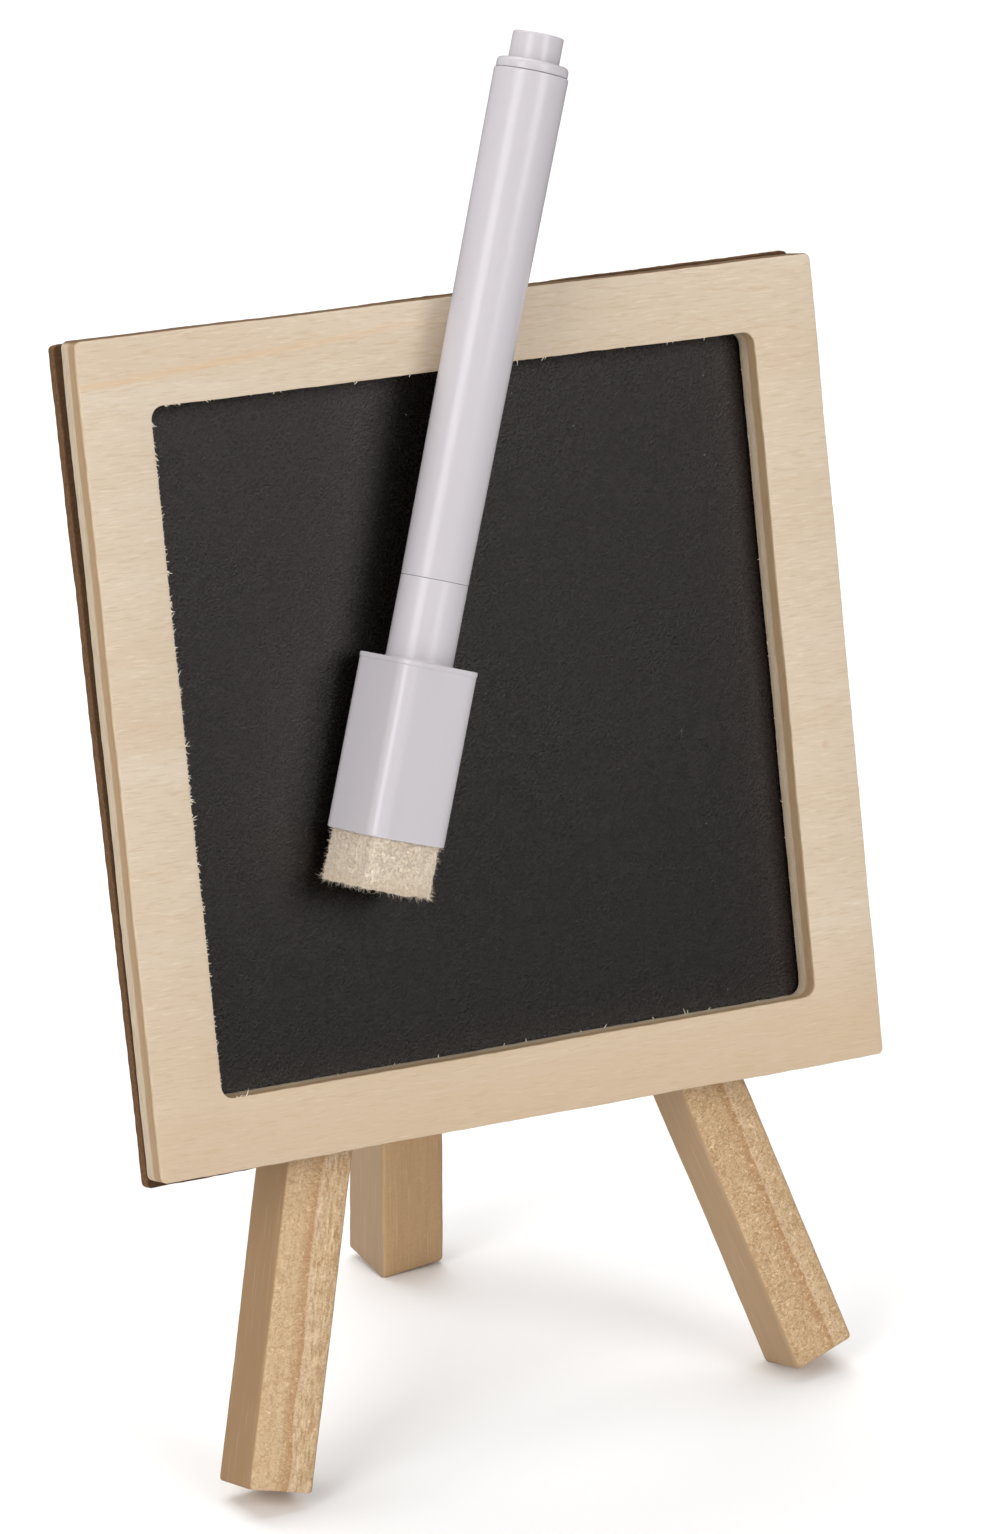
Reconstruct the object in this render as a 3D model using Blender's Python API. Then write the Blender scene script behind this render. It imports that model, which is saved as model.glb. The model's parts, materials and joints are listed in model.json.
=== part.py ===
"""Table-top chalkboard on a three-legged easel, with a magnetic marker parked on the board.

The easel plane holds the two front legs. Its own axes are +X to the right, +Y up along the leaning
legs and +Z towards the reader, and its origin is where the centre lines of the front legs cross,
level with their front faces. The board and the hinge each have a plane of their own inside it. The
whole model stands on Z = 0 with its origin under the centre of its bounding box.
"""

import math

import bmesh
import bpy
from mathutils import Matrix, Vector

MM = 0.001
GAP = 0.3 * MM  # clearance left between pieces that touch
TINY_GAP = 0.2 * MM  # running clearance of the hinge pin

# Board: a plywood frame, a painted steel sheet and a hardboard back
BOARD_WIDTH = 120.0 * MM
BOARD_HEIGHT = 120.5 * MM
BOARD_RADIUS = 1.0 * MM
OPENING_WIDTH = 98.6 * MM
OPENING_HEIGHT = 99.5 * MM
OPENING_RADIUS = 1.9 * MM
FRAME_THICKNESS = 5.0 * MM
FRAME_EASE = 0.25 * MM
SHEET_THICKNESS = 0.5 * MM
SHEET_INSET = 1.2 * MM
BACKING_THICKNESS = 2.3 * MM
BACKING_RADIUS = 0.6 * MM
BACKING_EXTRA = 0.54 * MM  # the back is cut a little taller than the frame
BACKING_DROP = 0.43 * MM
BACKING_TURN = math.radians(0.45)
BOARD_DEPTH = FRAME_THICKNESS + SHEET_THICKNESS + BACKING_THICKNESS + 3 * GAP
BOARD_TURN = math.radians(-2.5)  # the board is glued on slightly crooked
BOARD_SHIFT = 0.8 * MM
BOARD_CENTRE_DROP = 49.8 * MM  # from the legs' crossing down to the middle of the board

# Legs: square sticks with square-cut feet
LEG_SECTION = 10.6 * MM
LEG_LENGTH = 164.0 * MM  # from the crossing of the centre lines to the middle of the foot
LEG_SPLAY = math.radians(16.4)
LEG_HEAD_TOP = 1.0 * MM  # the mitred heads are sawn off level just above the crossing
LEG_EASE = 0.5 * MM
BRAD_STATIONS = (46.0 * MM, 92.0 * MM)  # along each front leg, from the crossing

# Brads that nail each front leg to the back
BRAD_RADIUS = 0.6 * MM
BRAD_HEAD_RADIUS = 1.3 * MM
BRAD_HEAD_THICKNESS = 0.5 * MM
BRAD_BITE = 1.7 * MM  # how far the point enters the hardboard

# Rear leg, on a butt hinge between it and the meeting heads of the front legs
REAR_SECTION = 11.1 * MM
REAR_LENGTH = 127.6 * MM  # from the hinge pin to the foot
REAR_OPEN = math.radians(23.2)
REAR_STOP_FACE = 3.0 * MM  # how far the bevel that lands on the fixed leaf runs up the leg
HINGE_SHIFT = 2.5 * MM
HINGE_DROP = 28.0 * MM
HINGE_SKEW = math.radians(4.0)
HINGE_WIDTH = 12.0 * MM
HINGE_LEAF = 0.7 * MM
HINGE_LEAF_LENGTH = 12.0 * MM
KNUCKLE_RADIUS = 1.5 * MM
PIN_RADIUS = 0.65 * MM
PIN_HEAD_RADIUS = 1.2 * MM
PIN_HEAD_THICKNESS = 0.5 * MM
SCREW_SPREAD = 4.2 * MM  # each side of the middle of the leaf
SCREW_RUN = 8.5 * MM  # from the pin along the leaf
SCREW_RADIUS = 0.7 * MM
SCREW_HEAD_RADIUS = 1.3 * MM
SCREW_LENGTH = 5.5 * MM

# Marker, measured along its axis from the mouth of the cap that holds the felt
PEN_X = -20.55 * MM  # mouth of the cap, from the middle of the board
PEN_Y = -15.7 * MM
PEN_TURN = math.radians(17.2)
PEN_LEAN = math.radians(2.5)
PEN_ROLL = math.radians(9.0)
CAP_SIDE = 13.75 * MM
CAP_RADIUS = 2.5 * MM
CAP_HEIGHT = 25.75 * MM
NECK_RADIUS = 4.93 * MM
NECK_END = 37.7 * MM
FELT_POCKET_SIDE = 12.2 * MM
FELT_POCKET_DEPTH = 5.0 * MM
MAGNET_POCKET_RADIUS = 4.3 * MM
MAGNET_POCKET_DEPTH = 3.3 * MM
SOCKET_RADIUS = 3.9 * MM
SOCKET_FLOOR = 10.0 * MM
FELT_SIDE = 11.6 * MM
FELT_REACH = 7.5 * MM
BARREL_END = 111.75 * MM
BARREL_TOP_RADIUS = 5.45 * MM
BARREL_BORE = 4.1 * MM
NOSE_RADIUS = 3.6 * MM
NOSE_TIP = 15.5 * MM
NOSE_TIP_RADIUS = 2.0 * MM
NOSE_TAPER_START = 24.0 * MM
NOSE_PLUG_END = 48.0 * MM
NIB_RADIUS = 1.0 * MM
NIB_TIP = 12.3 * MM
RESERVOIR_RADIUS = 3.5 * MM
RESERVOIR_END = 100.0 * MM
COLLAR_RADIUS = 5.25 * MM
COLLAR_END = 113.4 * MM
PLUG_RADIUS = 3.72 * MM
PLUG_END = 117.4 * MM
PLUG_ROOT = 101.0 * MM

ROUND_STEPS = 32
SMALL_ROUND_STEPS = 16
CORNER_STEPS = 5
OVERCUT = 1.0 * MM  # how far a cutter runs past the face it opens
SMOOTH_ANGLE = math.radians(35)

PLYWOOD = ("plywood", (0.72, 0.56, 0.36), 0.62, 0.0)
PAINTED_STEEL = ("painted_steel", (0.022, 0.021, 0.021), 0.75, 0.0)
HARDBOARD = ("hardboard", (0.16, 0.085, 0.04), 0.8, 0.0)
LEG_WOOD = ("leg_wood", (0.56, 0.38, 0.20), 0.62, 0.0)
HINGE_STEEL = ("hinge_steel", (0.72, 0.62, 0.38), 0.3, 1.0)
BRIGHT_STEEL = ("bright_steel", (0.62, 0.62, 0.63), 0.35, 1.0)
WHITE_PLASTIC = ("white_plastic", (0.76, 0.74, 0.78), 0.3, 0.0)
BLACK_PLASTIC = ("black_plastic", (0.03, 0.03, 0.03), 0.4, 0.0)
WOOL_FELT = ("wool_felt", (0.78, 0.70, 0.56), 0.95, 0.0)
FIBRE = ("fibre", (0.08, 0.08, 0.09), 0.9, 0.0)
MAGNET_METAL = ("magnet_metal", (0.3, 0.3, 0.31), 0.4, 1.0)


def clear_scene():
    for obj in list(bpy.data.objects):
        bpy.data.objects.remove(obj)


def material(finish):
    name, colour, roughness, metallic = finish
    existing = bpy.data.materials.get(name)
    if existing:
        return existing
    made = bpy.data.materials.new(name)
    made.use_nodes = True
    shader = made.node_tree.nodes["Principled BSDF"]
    shader.inputs["Base Color"].default_value = (*colour, 1.0)
    shader.inputs["Roughness"].default_value = roughness
    shader.inputs["Metallic"].default_value = metallic
    return made


def add_empty(name, parent, matrix):
    empty = bpy.data.objects.new(name, None)
    bpy.context.scene.collection.objects.link(empty)
    empty.parent = parent
    empty.matrix_local = matrix
    return empty


def add_object(name, mesh, parent, finish, matrix=None):
    obj = bpy.data.objects.new(name, mesh)
    bpy.context.scene.collection.objects.link(obj)
    obj.parent = parent
    if matrix is not None:
        obj.matrix_local = matrix
    if finish:
        obj.data.materials.append(material(finish))
    return obj


def rounded_rectangle(width, height, radius, steps=CORNER_STEPS):
    """Points of a rounded rectangle about the origin, anticlockwise."""
    points = []
    quarters = ((1, 1), (-1, 1), (-1, -1), (1, -1))
    for quarter, (sx, sy) in enumerate(quarters):
        cx = sx * (width / 2 - radius)
        cy = sy * (height / 2 - radius)
        for step in range(steps + 1):
            angle = math.pi / 2 * (quarter + step / steps)
            points.append((cx + radius * math.cos(angle), cy + radius * math.sin(angle)))
    return points


def finish_mesh(bm, name):
    bmesh.ops.recalc_face_normals(bm, faces=bm.faces)
    mesh = bpy.data.meshes.new(name)
    bm.to_mesh(mesh)
    bm.free()
    return mesh


def prism(name, outline, low, high):
    """A solid with this outline, between two heights along Z."""
    bm = bmesh.new()
    base = bm.faces.new([bm.verts.new((x, y, low)) for x, y in outline])
    grown = bmesh.ops.extrude_face_region(bm, geom=[base])
    top = [item for item in grown["geom"] if isinstance(item, bmesh.types.BMVert)]
    bmesh.ops.translate(bm, verts=top, vec=(0, 0, high - low))
    return finish_mesh(bm, name)


def ring_prism(name, outer, inner, low, high):
    """A flat frame between two outlines that have the same number of points."""
    bm = bmesh.new()
    loops = [[bm.verts.new((x, y, z)) for x, y in line] for z in (low, high) for line in (outer, inner)]
    outer_low, inner_low, outer_high, inner_high = loops
    sides = (
        (outer_low, outer_high),
        (outer_high, inner_high),
        (inner_high, inner_low),
        (inner_low, outer_low),
    )
    count = len(outer)
    for first, second in sides:
        for i in range(count):
            j = (i + 1) % count
            bm.faces.new((first[i], first[j], second[j], second[i]))
    return finish_mesh(bm, name)


def turned(name, profile, steps=ROUND_STEPS):
    """A solid of revolution about Z. The profile is (radius, height) pairs from one end on the axis
    to the other, or a closed loop that stays off the axis."""
    bm = bmesh.new()
    closed = profile[0][0] > 0
    verts = [bm.verts.new((radius, 0, height)) for radius, height in profile]
    edges = [bm.edges.new(pair) for pair in zip(verts, verts[1:])]
    if closed:
        edges.append(bm.edges.new((verts[-1], verts[0])))
    bmesh.ops.spin(
        bm,
        geom=verts + edges,
        axis=(0, 0, 1),
        cent=(0, 0, 0),
        angle=2 * math.pi,
        steps=steps,
        use_merge=True,
    )
    bmesh.ops.remove_doubles(bm, verts=bm.verts, dist=1e-7)
    mesh = finish_mesh(bm, name)
    mesh.shade_smooth()
    mesh.set_sharp_from_angle(angle=SMOOTH_ANGLE)
    return mesh


def rod(radius, low, high):
    """Profile of a plain cylinder."""
    return [(0, low), (radius, low), (radius, high), (0, high)]


def add_cutter(name, mesh, parent, matrix=None):
    cutter = add_object(name, mesh, parent, None, matrix)
    cutter.hide_render = True
    cutter.display_type = "WIRE"
    return cutter


def boolean(obj, other, operation="DIFFERENCE"):
    modifier = obj.modifiers.new(f"{operation.lower()}_{other.name}", "BOOLEAN")
    modifier.operation = operation
    modifier.object = other


def ease_edges(obj, width, segments=1, angle=60):
    """Rounds the edges that turn by more than this angle."""
    modifier = obj.modifiers.new("ease", "BEVEL")
    modifier.width = width
    modifier.segments = segments
    modifier.limit_method = "ANGLE"
    modifier.angle_limit = math.radians(angle)


def flip_z():
    """Turns a piece made along +Z to run along -Z."""
    return Matrix.Rotation(math.pi, 4, "X")


def leg_direction(side):
    """The way a front leg runs down from the crossing. side is -1 on the left, 1 on the right."""
    return Vector((side * math.sin(LEG_SPLAY), -math.cos(LEG_SPLAY)))


def pin_depth():
    """Distance of the hinge pin behind the front faces of the legs."""
    return LEG_SECTION + GAP + KNUCKLE_RADIUS


def hinge_matrix():
    """The hinge's own plane: X along the pin, Y up the folded rear leg, Z towards the reader."""
    place = Matrix.Translation((HINGE_SHIFT, -HINGE_DROP, -pin_depth()))
    return place @ Matrix.Rotation(HINGE_SKEW, 4, "Z")


def build_board(plane):
    """The frame, the steel writing sheet and the hardboard back, glued face to face."""
    outer = rounded_rectangle(BOARD_WIDTH, BOARD_HEIGHT, BOARD_RADIUS)
    inner = rounded_rectangle(OPENING_WIDTH, OPENING_HEIGHT, OPENING_RADIUS)
    frame_mesh = ring_prism("front_frame", outer, inner, -FRAME_THICKNESS, 0)
    frame = add_object("front_frame", frame_mesh, plane, PLYWOOD)
    ease_edges(frame, FRAME_EASE)

    sheet_front = -FRAME_THICKNESS - GAP
    sheet_back = sheet_front - SHEET_THICKNESS
    sheet_outline = rounded_rectangle(
        BOARD_WIDTH - 2 * SHEET_INSET, BOARD_HEIGHT - 2 * SHEET_INSET, BOARD_RADIUS
    )
    sheet_mesh = prism("chalkboard_sheet", sheet_outline, sheet_back, sheet_front)
    add_object("chalkboard_sheet", sheet_mesh, plane, PAINTED_STEEL)

    back_front = sheet_back - GAP
    back_outline = rounded_rectangle(BOARD_WIDTH, BOARD_HEIGHT + BACKING_EXTRA, BACKING_RADIUS)
    back_mesh = prism("backing_board", back_outline, back_front - BACKING_THICKNESS, back_front)
    skew = Matrix.Translation((0, -BACKING_DROP, 0)) @ Matrix.Rotation(BACKING_TURN, 4, "Z")
    return add_object("backing_board", back_mesh, plane, HARDBOARD, skew)


def leg_outline(side):
    """Outline of a front leg in the easel plane, from its foot up to its mitred, level-sawn head."""
    down = leg_direction(side)
    outward = Vector((side * math.cos(LEG_SPLAY), math.sin(LEG_SPLAY)))
    half = LEG_SECTION / 2
    foot = down * LEG_LENGTH
    head_run = (half * math.sin(LEG_SPLAY) - LEG_HEAD_TOP) / math.cos(LEG_SPLAY)
    mitre = side * GAP / 2
    mitre_run = (GAP / 2 + half * math.cos(LEG_SPLAY)) / math.sin(LEG_SPLAY)
    points = [
        foot - outward * half,
        foot + outward * half,
        outward * half + down * head_run,
        Vector((mitre, LEG_HEAD_TOP)),
        down * mitre_run - outward * half,
    ]
    return [tuple(point) for point in points]


def build_front_legs(plane):
    legs = {}
    for side, name in ((-1, "left_leg"), (1, "right_leg")):
        mesh = prism(name, leg_outline(side), -LEG_SECTION, 0)
        legs[side] = add_object(name, mesh, plane, LEG_WOOD)
        ease_edges(legs[side], LEG_EASE, segments=2)
    return legs


def build_brads(plane, legs, backing):
    """Two brads a side, driven through each front leg into the hardboard."""
    length = LEG_SECTION + GAP + BRAD_BITE
    head_low = -GAP - BRAD_HEAD_THICKNESS
    profile = [
        (0, head_low),
        (BRAD_HEAD_RADIUS, head_low),
        (BRAD_HEAD_RADIUS, -GAP),
        (BRAD_RADIUS, -GAP),
        (BRAD_RADIUS, length - 2 * BRAD_RADIUS),
        (0, length),
    ]
    mesh = turned("brad", profile, SMALL_ROUND_STEPS)
    mesh.materials.append(material(BRIGHT_STEEL))
    hole = turned("brad_hole", rod(BRAD_RADIUS + GAP, -OVERCUT, length + GAP), SMALL_ROUND_STEPS)
    for side, name in ((-1, "left"), (1, "right")):
        for number, station in enumerate(BRAD_STATIONS, start=1):
            spot = leg_direction(side) * station
            matrix = Matrix.Translation((spot.x, spot.y, -LEG_SECTION))
            add_object(f"{name}_leg_brad_{number}", mesh, plane, None, matrix)
            cutter = add_cutter(f"{name}_brad_hole_{number}", hole, plane, matrix)
            boolean(legs[side], cutter)
            boolean(backing, cutter)


def build_leaf(name, parent, facing, knuckles):
    """A hinge leaf: 1 for the one that rises in front of the pin, -1 for the one that hangs behind."""
    face = facing * KNUCKLE_RADIUS
    low, high = sorted((face, face - facing * HINGE_LEAF))
    half = HINGE_WIDTH / 2
    end = facing * HINGE_LEAF_LENGTH
    outline = [(-half, end), (half, end), (half, 0), (-half, 0)]
    leaf = add_object(name, prism(name, outline, low, high), parent, HINGE_STEEL)
    across = Matrix.Rotation(math.pi / 2, 4, "Y")
    segment = HINGE_WIDTH / 3
    own_parts = []
    for index in range(3):
        left = -half + index * segment
        if index in knuckles:
            inset_left = GAP / 2 if index else 0
            inset_right = GAP / 2 if index < 2 else 0
            profile = rod(KNUCKLE_RADIUS, left + inset_left, left + segment - inset_right)
            own_parts.append(turned(f"{name}_knuckle_{index}", profile))
        else:
            notch = KNUCKLE_RADIUS + GAP
            profile = rod(notch, left - GAP / 2, left + segment + GAP / 2)
            cutter = add_cutter(f"{name}_notch_{index}", turned(f"{name}_notch", profile), parent, across)
            boolean(leaf, cutter)
    for number, mesh in enumerate(own_parts):
        boolean(leaf, add_cutter(f"{name}_roll_{number}", mesh, parent, across), "UNION")
    reach = half + OVERCUT
    bore_mesh = turned(f"{name}_bore", rod(PIN_RADIUS + TINY_GAP, -reach, reach))
    boolean(leaf, add_cutter(f"{name}_bore", bore_mesh, parent, across))
    return leaf


def build_leaf_screws(parent, facing, names, leaf, woods):
    """Countersunk screws through a leaf into the wood behind it."""
    face = facing * (KNUCKLE_RADIUS - HINGE_LEAF)
    away = Matrix.Identity(4) if facing > 0 else flip_z()
    profile = [
        (0, 0),
        (SCREW_HEAD_RADIUS, 0),
        (SCREW_RADIUS, HINGE_LEAF),
        (SCREW_RADIUS, SCREW_LENGTH - 2 * SCREW_RADIUS),
        (0, SCREW_LENGTH),
    ]
    sink = [
        (0, -OVERCUT),
        (SCREW_HEAD_RADIUS + GAP, -OVERCUT),
        (SCREW_HEAD_RADIUS + GAP, 0),
        (SCREW_RADIUS + GAP, HINGE_LEAF),
        (SCREW_RADIUS + GAP, SCREW_LENGTH + GAP),
        (0, SCREW_LENGTH + GAP),
    ]
    mesh = turned("leaf_screw", profile, SMALL_ROUND_STEPS)
    mesh.materials.append(material(HINGE_STEEL))
    sink_mesh = turned("leaf_screw_hole", sink, SMALL_ROUND_STEPS)
    for side, name, wood in zip((-1, 1), names, woods):
        matrix = Matrix.Translation((side * SCREW_SPREAD, facing * SCREW_RUN, face)) @ away
        add_object(name, mesh, parent, None, matrix)
        cutter = add_cutter(f"{name}_hole", sink_mesh, parent, matrix)
        boolean(leaf, cutter)
        boolean(wood, cutter)


def build_rear_leg(hinge):
    """The rear leg, with a bevel on its head that meets the fixed leaf at its open angle."""
    face = -KNUCKLE_RADIUS - GAP
    stop_plane = KNUCKLE_RADIUS - HINGE_LEAF - GAP
    start = (stop_plane - face * math.cos(REAR_OPEN)) / math.sin(REAR_OPEN)
    head = start + REAR_STOP_FACE
    head_face = (stop_plane - head * math.sin(REAR_OPEN)) / math.cos(REAR_OPEN)
    outline = [
        (-REAR_LENGTH, face),
        (-REAR_LENGTH, face - REAR_SECTION),
        (head, face - REAR_SECTION),
        (head, head_face),
        (start, face),
    ]
    half = REAR_SECTION / 2
    mesh = prism("rear_leg", outline, -half, half)
    # The outline was drawn with the leg's run along X and its depth along Y.
    columns = Matrix(((0, 0, 1, 0), (1, 0, 0, 0), (0, 1, 0, 0), (0, 0, 0, 1)))
    mesh.transform(columns)
    leg = add_object("rear_leg", mesh, hinge, LEG_WOOD)
    ease_edges(leg, LEG_EASE, segments=2)
    return leg


def build_hinge(plane, legs):
    """The butt hinge. Everything under the turning empty swings with the rear leg."""
    fixed = add_empty("hinge_plane", plane, hinge_matrix())
    turning = add_empty("rear_leg_axis", fixed, Matrix.Rotation(REAR_OPEN, 4, "X"))
    upper = build_leaf("hinge_fixed_leaf", fixed, 1, (0, 2))
    lower = build_leaf("hinge_moving_leaf", turning, -1, (1,))
    rear_leg = build_rear_leg(turning)
    fixed_names = ("fixed_leaf_screw_left", "fixed_leaf_screw_right")
    moving_names = ("moving_leaf_screw_left", "moving_leaf_screw_right")
    build_leaf_screws(fixed, 1, fixed_names, upper, (legs[-1], legs[1]))
    build_leaf_screws(turning, -1, moving_names, lower, (rear_leg, rear_leg))

    end = HINGE_WIDTH / 2 + TINY_GAP
    profile = [
        (0, -end - PIN_HEAD_THICKNESS),
        (PIN_HEAD_RADIUS, -end - PIN_HEAD_THICKNESS),
        (PIN_HEAD_RADIUS, -end),
        (PIN_RADIUS, -end),
        (PIN_RADIUS, end),
        (PIN_HEAD_RADIUS, end),
        (PIN_HEAD_RADIUS, end + PIN_HEAD_THICKNESS),
        (0, end + PIN_HEAD_THICKNESS),
    ]
    across = Matrix.Rotation(math.pi / 2, 4, "Y")
    add_object("hinge_pin", turned("hinge_pin", profile), fixed, BRIGHT_STEEL, across)
    return rear_leg


def pen_matrix():
    """The marker's axis: origin at the felt end of the cap, +Z towards the end plug."""
    inner_half = CAP_SIDE / 2 - CAP_RADIUS
    reach = inner_half * (math.cos(PEN_ROLL) + math.sin(PEN_ROLL)) + CAP_RADIUS
    height = -FRAME_THICKNESS - GAP + reach + GAP
    place = Matrix.Translation((PEN_X, PEN_Y, height))
    turn = Matrix.Rotation(-PEN_TURN, 4, "Z")
    upright = Matrix.Rotation(-math.pi / 2 + PEN_LEAN, 4, "X")
    return place @ turn @ upright @ Matrix.Rotation(PEN_ROLL, 4, "Z")


def barrel_radius(height):
    """The barrel's outer radius, which grows evenly from the neck to the end plug."""
    share = (height - NECK_END) / (BARREL_END - NECK_END)
    return NECK_RADIUS + share * (BARREL_TOP_RADIUS - NECK_RADIUS)


def build_cap(axis):
    """The square cap: a socket for the nose above, pockets for the magnet and the felt below."""
    outline = rounded_rectangle(CAP_SIDE, CAP_SIDE, CAP_RADIUS)
    cap = add_object("cap_block", prism("cap_block", outline, 0, CAP_HEIGHT), axis, WHITE_PLASTIC)
    neck_profile = rod(NECK_RADIUS, CAP_HEIGHT - OVERCUT, NECK_END)
    boolean(cap, add_cutter("cap_neck", turned("cap_neck", neck_profile), axis), "UNION")
    socket_profile = rod(SOCKET_RADIUS, SOCKET_FLOOR, NECK_END + OVERCUT)
    boolean(cap, add_cutter("cap_socket", turned("cap_socket", socket_profile), axis))
    pocket_outline = rounded_rectangle(FELT_POCKET_SIDE, FELT_POCKET_SIDE, CAP_RADIUS / 2)
    pocket_mesh = prism("felt_pocket", pocket_outline, -OVERCUT, FELT_POCKET_DEPTH)
    boolean(cap, add_cutter("felt_pocket", pocket_mesh, axis))
    magnet_top = FELT_POCKET_DEPTH + MAGNET_POCKET_DEPTH
    magnet_hole = rod(MAGNET_POCKET_RADIUS, FELT_POCKET_DEPTH - OVERCUT, magnet_top)
    boolean(cap, add_cutter("magnet_pocket", turned("magnet_pocket", magnet_hole), axis))

    magnet_profile = rod(MAGNET_POCKET_RADIUS - GAP, FELT_POCKET_DEPTH + GAP, magnet_top - GAP)
    add_object("cap_magnet", turned("cap_magnet", magnet_profile), axis, MAGNET_METAL)
    felt_outline = rounded_rectangle(FELT_SIDE, FELT_SIDE, CAP_RADIUS / 2)
    felt_mesh = prism("eraser_felt", felt_outline, -FELT_REACH, FELT_POCKET_DEPTH - GAP)
    add_object("eraser_felt", felt_mesh, axis, WOOL_FELT)


def build_marker(axis):
    """The marker itself, which pulls out of the cap along the shared axis."""
    start = NECK_END + GAP / 2
    shoulder = 0.4 * MM
    barrel_profile = [
        (BARREL_BORE, start),
        (barrel_radius(start), start),
        (barrel_radius(BARREL_END - shoulder), BARREL_END - shoulder),
        (barrel_radius(BARREL_END) - shoulder, BARREL_END),
        (BARREL_BORE, BARREL_END),
    ]
    add_object("pen_barrel", turned("pen_barrel", barrel_profile), axis, WHITE_PLASTIC)

    bore = NIB_RADIUS + GAP
    plug = BARREL_BORE - GAP
    nose_profile = [
        (bore, NOSE_TIP),
        (NOSE_TIP_RADIUS, NOSE_TIP),
        (NOSE_RADIUS, NOSE_TAPER_START),
        (NOSE_RADIUS, start),
        (plug, start),
        (plug, NOSE_PLUG_END),
        (bore, NOSE_PLUG_END),
    ]
    add_object("nib_holder", turned("nib_holder", nose_profile), axis, BLACK_PLASTIC)

    reservoir_start = NOSE_PLUG_END + GAP
    nib_profile = [
        (0, NIB_TIP),
        (NIB_RADIUS * 0.6, NIB_TIP + 0.25 * MM),
        (NIB_RADIUS, NIB_TIP + 1.0 * MM),
        (NIB_RADIUS, NOSE_PLUG_END),
        (0, NOSE_PLUG_END),
    ]
    add_object("pen_nib", turned("pen_nib", nib_profile, SMALL_ROUND_STEPS), axis, FIBRE)
    reservoir_profile = rod(RESERVOIR_RADIUS, reservoir_start, RESERVOIR_END)
    add_object("ink_reservoir", turned("ink_reservoir", reservoir_profile), axis, FIBRE)

    rim = 0.6 * MM
    collar_start = BARREL_END + GAP
    plug_profile = [
        (0, PLUG_ROOT),
        (plug, PLUG_ROOT),
        (plug, collar_start),
        (COLLAR_RADIUS, collar_start),
        (COLLAR_RADIUS, COLLAR_END - rim),
        (COLLAR_RADIUS - 0.3 * rim, COLLAR_END - 0.3 * rim),
        (COLLAR_RADIUS - rim, COLLAR_END),
        (PLUG_RADIUS, COLLAR_END),
        (PLUG_RADIUS, PLUG_END - 0.2 * MM),
        (PLUG_RADIUS - 0.2 * MM, PLUG_END),
        (0, PLUG_END),
    ]
    add_object("end_plug", turned("end_plug", plug_profile), axis, WHITE_PLASTIC)


def evaluated_points(objects):
    """World positions of the vertices of these objects, with their modifiers applied."""
    bpy.context.view_layer.update()
    graph = bpy.context.evaluated_depsgraph_get()
    points = []
    for obj in objects:
        evaluated = obj.evaluated_get(graph)
        points += [evaluated.matrix_world @ vertex.co for vertex in evaluated.data.vertices]
    return points


def lean_angle(front_legs, rear_leg):
    """Lean of the easel plane that stands all three feet on one level, found by halving."""
    front = evaluated_points(front_legs)
    rear = evaluated_points([rear_leg])
    low = 0.0
    high = math.radians(45)
    for _ in range(40):
        lean = (low + high) / 2
        front_foot = min(p.y * math.cos(lean) + p.z * math.sin(lean) for p in front)
        rear_foot = min(p.y * math.cos(lean) + p.z * math.sin(lean) for p in rear)
        if front_foot < rear_foot:
            low = lean
        else:
            high = lean
    return low


def stand_on_floor(root):
    """Moves the root so that the box round the whole model is centred on the origin, over Z = 0."""
    solids = [obj for obj in bpy.context.scene.objects if obj.type == "MESH" and not obj.hide_render]
    corners = evaluated_points(solids)
    low = Vector([min(corner[axis] for corner in corners) for axis in range(3)])
    high = Vector([max(corner[axis] for corner in corners) for axis in range(3)])
    root.location = (-(low.x + high.x) / 2, -(low.y + high.y) / 2, -low.z)
    bpy.context.view_layer.update()


def main():
    clear_scene()
    root = add_empty("easel", None, Matrix.Identity(4))
    easel_plane = add_empty("easel_plane", root, Matrix.Identity(4))
    board_place = Matrix.Translation((BOARD_SHIFT, -BOARD_CENTRE_DROP, BOARD_DEPTH))
    board_plane = add_empty("board_plane", easel_plane, board_place @ Matrix.Rotation(BOARD_TURN, 4, "Z"))
    backing = build_board(board_plane)
    legs = build_front_legs(easel_plane)
    build_brads(easel_plane, legs, backing)
    rear_leg = build_hinge(easel_plane, legs)
    pen_axis = add_empty("pen_axis", board_plane, pen_matrix())
    build_cap(pen_axis)
    build_marker(pen_axis)
    lean = lean_angle(legs.values(), rear_leg)
    easel_plane.matrix_local = Matrix.Rotation(math.pi / 2 - lean, 4, "X")
    stand_on_floor(root)


main()
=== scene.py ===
import json
import math
import random

import bmesh
import bpy
import numpy as np
from mathutils import Matrix, Vector, noise


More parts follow.
